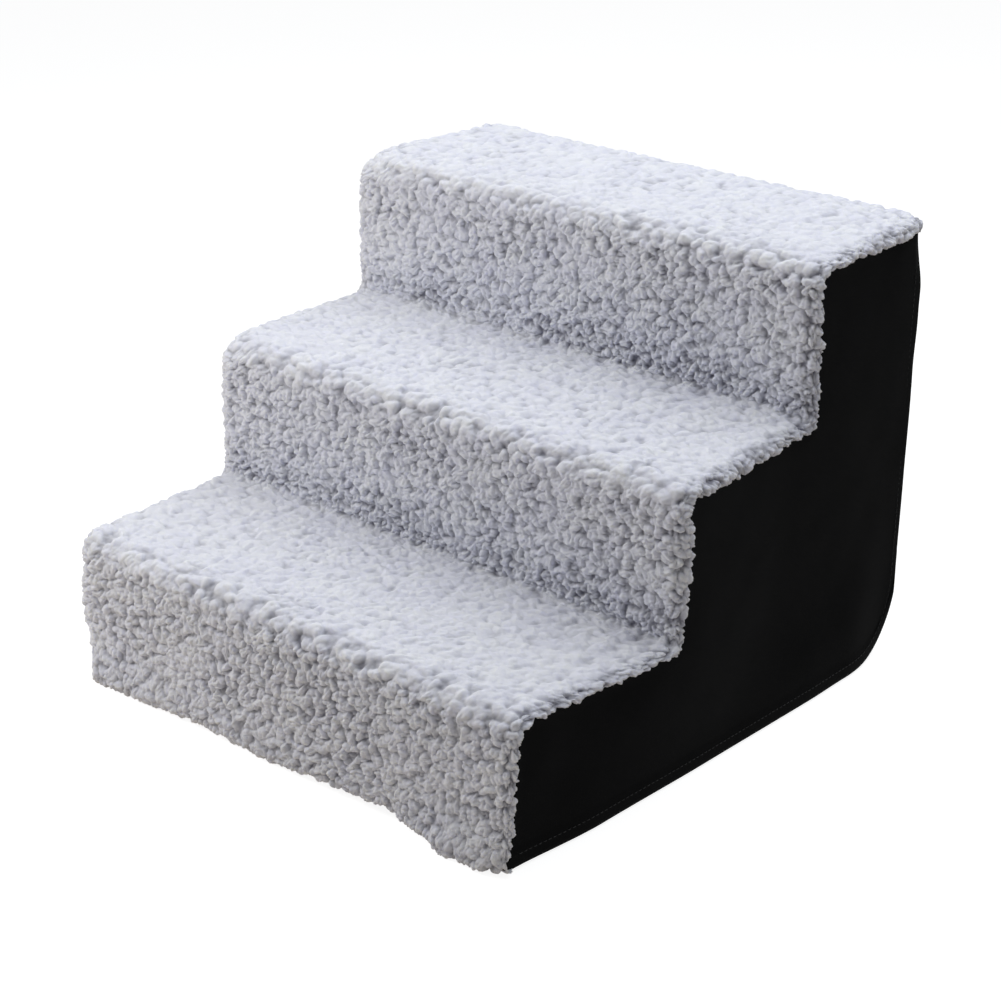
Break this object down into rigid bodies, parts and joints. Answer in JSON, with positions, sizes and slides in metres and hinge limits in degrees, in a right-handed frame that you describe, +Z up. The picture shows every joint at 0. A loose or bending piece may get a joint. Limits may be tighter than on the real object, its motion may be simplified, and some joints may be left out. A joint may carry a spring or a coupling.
{
  "type": "pet stairs",
  "caption": "Pet stairs with three fleece-covered steps and black cloth sides, a pull-off cover over a knock-down moulded frame, standing on rubber feet.",
  "frame": {"origin": "middle of the footprint, on the floor", "axes": "+X to the right seen from the front, +Y from the front to the back, +Z up"},
  "size_m": [0.4194, 0.408, 0.309],
  "materials": {
    "fleece": "curly pile fleece",
    "black_cloth": "matt woven cloth",
    "loop_strip": "loop tape",
    "hook_strip": "hook tape",
    "frame_board": "moulded polypropylene, fine texture",
    "push_pin": "moulded nylon",
    "tie_tube": "zinc plated",
    "rubber": "moulded rubber"
  },
  "bodies": {
    "frame": {"tread_board_low": "frame_board", "tread_board_mid": "frame_board", "tread_board_top": "frame_board", "riser_board_low": "frame_board", "riser_board_mid": "frame_board", "riser_board_top": "frame_board", "side_panel_low_left": "frame_board", "side_panel_low_right": "frame_board", "side_panel_mid_left": "frame_board", "side_panel_mid_right": "frame_board", "side_panel_top_left": "frame_board", "side_panel_top_right": "frame_board", "back_board_upper": "frame_board", "back_board_lower": "frame_board", "kick_board": "frame_board", "tie_tube_front": "tie_tube", "tie_tube_rear": "tie_tube", "foot_front_left": "rubber", "foot_front_right": "rubber", "foot_mid_left": "rubber", "foot_mid_right": "rubber", "foot_rear_left": "rubber", "foot_rear_right": "rubber", "riser_pins": "push_pin", "back_pins": "push_pin", "panel_pins": "push_pin", "tread_dowels": "push_pin", "hook_strip_left": "hook_strip", "hook_strip_right": "hook_strip", "hook_strip_front": "hook_strip", "hook_strip_rear": "hook_strip"},
    "cover": {"fleece_runner": "fleece", "side_cloth_left": "black_cloth", "side_cloth_right": "black_cloth", "back_cloth": "black_cloth", "loop_strip_left": "loop_strip", "loop_strip_right": "loop_strip", "loop_strip_front": "loop_strip", "loop_strip_rear": "loop_strip"}
  },
  "joints": [
    {"name": "cover_lift", "type": "slide", "parent": "frame", "child": "cover", "axis": [0, 0, 1], "range_m": [0, 0.31]}
  ]
}
